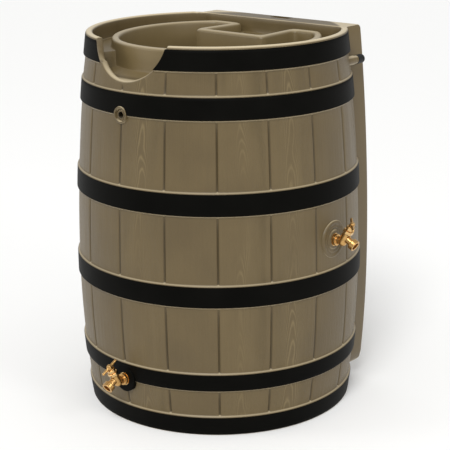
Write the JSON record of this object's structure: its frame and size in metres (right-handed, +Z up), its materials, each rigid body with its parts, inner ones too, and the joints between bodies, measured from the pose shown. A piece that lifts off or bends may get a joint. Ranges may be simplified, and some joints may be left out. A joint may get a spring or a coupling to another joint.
{
  "type": "rain barrel",
  "caption": "Flat-backed rain barrel with stave pattern, black bands, planter top with screened inlet bay, overflow notch, capped nozzle and brass hose taps.",
  "frame": {"origin": "centre of the round base, on the ground, on the barrel's axis", "axes": "+Z up, -Y to the front (notch and lower tap), +Y to the flat back, +X to the side with the second tap"},
  "size_m": [0.744, 0.663, 0.89],
  "materials": {
    "khaki_plastic": "satin, moulded wood grain",
    "black_band": "satin",
    "black_plastic": "satin",
    "stainless": "satin",
    "rubber": "matt",
    "brass": "polished casting"
  },
  "bodies": {
    "barrel": {"tank_shell": "khaki_plastic", "tank_top": "khaki_plastic", "hoop_1": "black_band", "hoop_2": "black_band", "hoop_3": "black_band", "hoop_4": "black_band", "hoop_5": "black_band", "hoop_6": "black_band", "front_port_insert": "khaki_plastic", "lower_tap_insert": "brass", "side_tap_insert": "brass", "screen_frame": "black_plastic", "screen_mesh": "stainless", "screen_screws": "stainless", "lower_tap_body": "brass", "lower_bonnet": "brass", "lower_bonnet_gasket": "rubber", "lower_gland_packing": "rubber", "lower_gland_nut": "brass", "side_tap_body": "brass", "side_bonnet": "brass", "side_bonnet_gasket": "rubber", "side_gland_packing": "rubber", "side_gland_nut": "brass"},
    "overflow_cap": {"overflow_cap": "black_plastic", "overflow_cap_seal": "rubber"},
    "lower_valve": {"lower_seat_washer": "rubber"},
    "lower_spindle": {"lower_stem": "brass", "lower_handle": "brass", "lower_handle_screw": "brass", "lower_washer_screw": "brass"},
    "side_valve": {"side_seat_washer": "rubber"},
    "side_spindle": {"side_stem": "brass", "side_handle": "brass", "side_handle_screw": "brass", "side_washer_screw": "brass"}
  },
  "joints": [
    {"name": "overflow_cap_pull", "type": "slide", "parent": "barrel", "child": "overflow_cap", "axis": [0, 1, 0], "range_m": [0, 0.06]},
    {"name": "lower_tap_lift", "type": "slide", "parent": "barrel", "child": "lower_valve", "axis": [0, -0.5, 0.866], "range_m": [0, 0.005]},
    {"name": "lower_tap_turn", "type": "hinge", "parent": "lower_valve", "child": "lower_spindle", "pos_m": [0, -0.38079, 0.15709], "axis": [0, -0.5, 0.866], "range_deg": [0, 900]},
    {"name": "side_tap_lift", "type": "slide", "parent": "barrel", "child": "side_valve", "axis": [0.4994, 0.0236, 0.866], "range_m": [0, 0.005]},
    {"name": "side_tap_turn", "type": "hinge", "parent": "side_valve", "child": "side_spindle", "pos_m": [0.38487, 0.01815, 0.47659], "axis": [0.4994, 0.0236, 0.866], "range_deg": [0, 900]}
  ],
  "couplings": [
    {"joint": "lower_tap_turn", "follows": "lower_tap_lift", "rad_per_m": 3141.6},
    {"joint": "side_tap_turn", "follows": "side_tap_lift", "rad_per_m": 3141.6}
  ]
}
